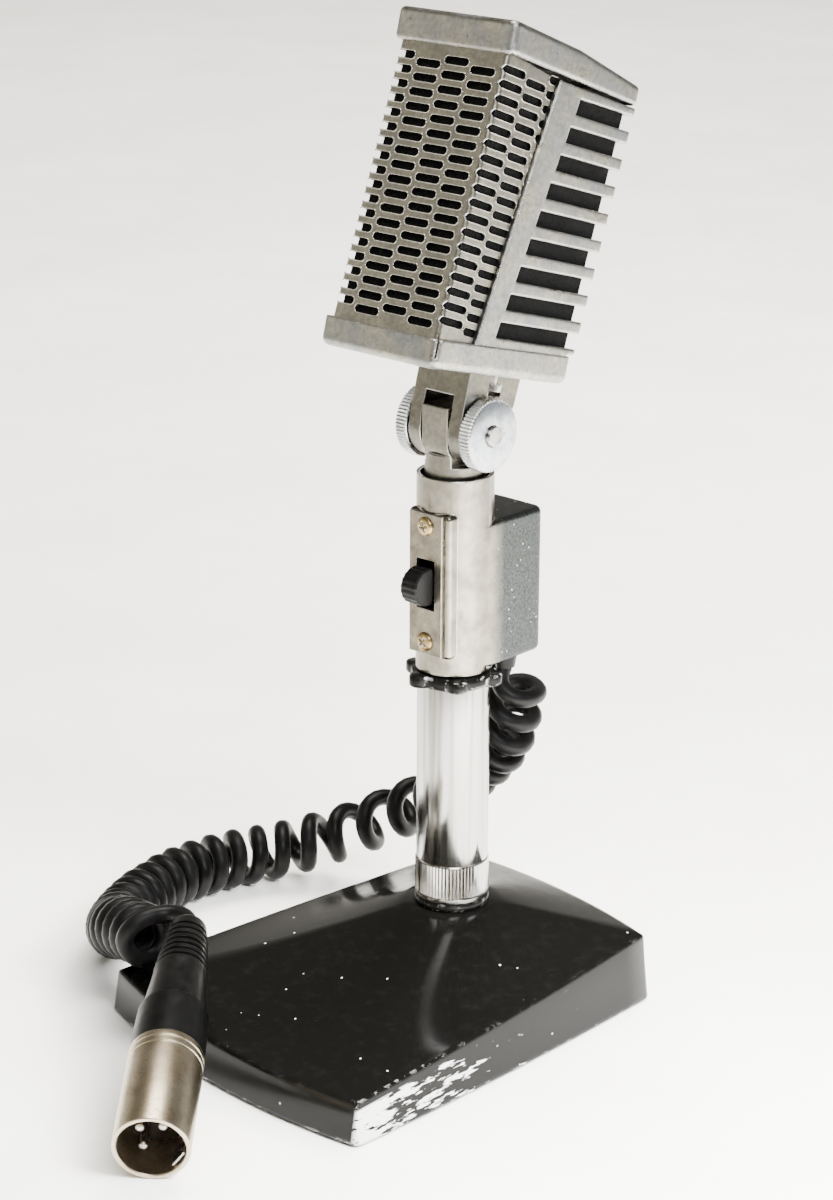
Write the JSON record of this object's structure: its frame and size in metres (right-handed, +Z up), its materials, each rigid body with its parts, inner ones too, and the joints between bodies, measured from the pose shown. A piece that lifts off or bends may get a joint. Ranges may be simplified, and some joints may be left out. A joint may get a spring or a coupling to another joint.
{
  "type": "desktop mic stand",
  "caption": "Desktop microphone with a tilting slotted head on a round post over a cast base, with a slide switch and a curly cord ending in a cable plug.",
  "frame": {"origin": "on the desk, under the axis of the post", "axes": "+Z up; X along the tilt pivot; -Y to the front, where the grille faces"},
  "size_m": [0.1456, 0.1789, 0.2605],
  "materials": {
    "gloss_black": "gloss",
    "cast_nickel": "satin",
    "sheet_nickel": "satin",
    "steel_plate": "satin",
    "chrome": "polished",
    "steel": "satin",
    "black_plastic": "satin",
    "black_rubber": "matte",
    "black_cloth": "matte",
    "brass_screw": "satin"
  },
  "bodies": {
    "stand": {"base_shell": "gloss_black", "base_plate": "steel", "base_feet": "black_rubber", "base_screws": "steel", "post_rod": "steel", "post_nut": "steel", "post_washer": "steel", "foot_ring": "gloss_black", "post_tube": "chrome", "switch_body": "cast_nickel", "rear_cover": "cast_nickel", "rear_cover_screws": "steel", "transformer": "steel", "switch_plate": "steel_plate", "plate_screws": "brass_screw", "switch_frame": "black_plastic", "cord_gland": "black_rubber", "tilt_tongue": "sheet_nickel", "pivot_bolt": "steel", "curly_cord": "black_rubber", "cord_tail_body": "black_rubber", "plug_shell": "sheet_nickel", "plug_insert": "black_plastic", "plug_pins": "steel", "plug_latch": "steel", "plug_collar": "black_plastic", "plug_boot": "black_rubber", "cord_tail_plug": "black_rubber"},
    "head": {"head_bracket": "sheet_nickel", "bracket_screws": "steel", "head_bottom_cap": "cast_nickel", "head_top_cap": "cast_nickel", "front_grille": "sheet_nickel", "rear_frame": "cast_nickel", "cloth_liner": "black_cloth", "capsule_mount": "black_rubber", "capsule": "steel", "capsule_stem": "steel", "head_tie_screws": "steel"},
    "nut_right": {"thumb_nut_right": "chrome"},
    "nut_left": {"thumb_nut_left": "chrome"},
    "lock_ring": {"star_lock_ring": "gloss_black"},
    "collar": {"knurled_collar": "chrome"},
    "slider": {"switch_slider": "black_plastic"}
  },
  "joints": [
    {"name": "head_tilt", "type": "hinge", "parent": "stand", "child": "head", "pos_m": [0, 0, 0.1569], "axis": [1, 0, 0], "range_deg": [-25, 60]},
    {"name": "nut_right_turn", "type": "hinge", "parent": "stand", "child": "nut_right", "pos_m": [0.0108, 0, 0.1569], "axis": [1, 0, 0], "range_deg": [-180, 180]},
    {"name": "nut_left_turn", "type": "hinge", "parent": "stand", "child": "nut_left", "pos_m": [-0.0108, 0, 0.1569], "axis": [1, 0, 0], "range_deg": [-180, 180]},
    {"name": "lock_ring_turn", "type": "hinge", "parent": "stand", "child": "lock_ring", "pos_m": [0, 0, 0.091], "axis": [0, 0, 1], "range_deg": [-90, 90]},
    {"name": "collar_turn", "type": "hinge", "parent": "stand", "child": "collar", "pos_m": [0, 0, 0.0345], "axis": [0, 0, 1], "range_deg": [-90, 90]},
    {"name": "switch_slide", "type": "slide", "parent": "stand", "child": "slider", "axis": [0, 0, 1], "range_m": [-0.003, 0.003]}
  ]
}
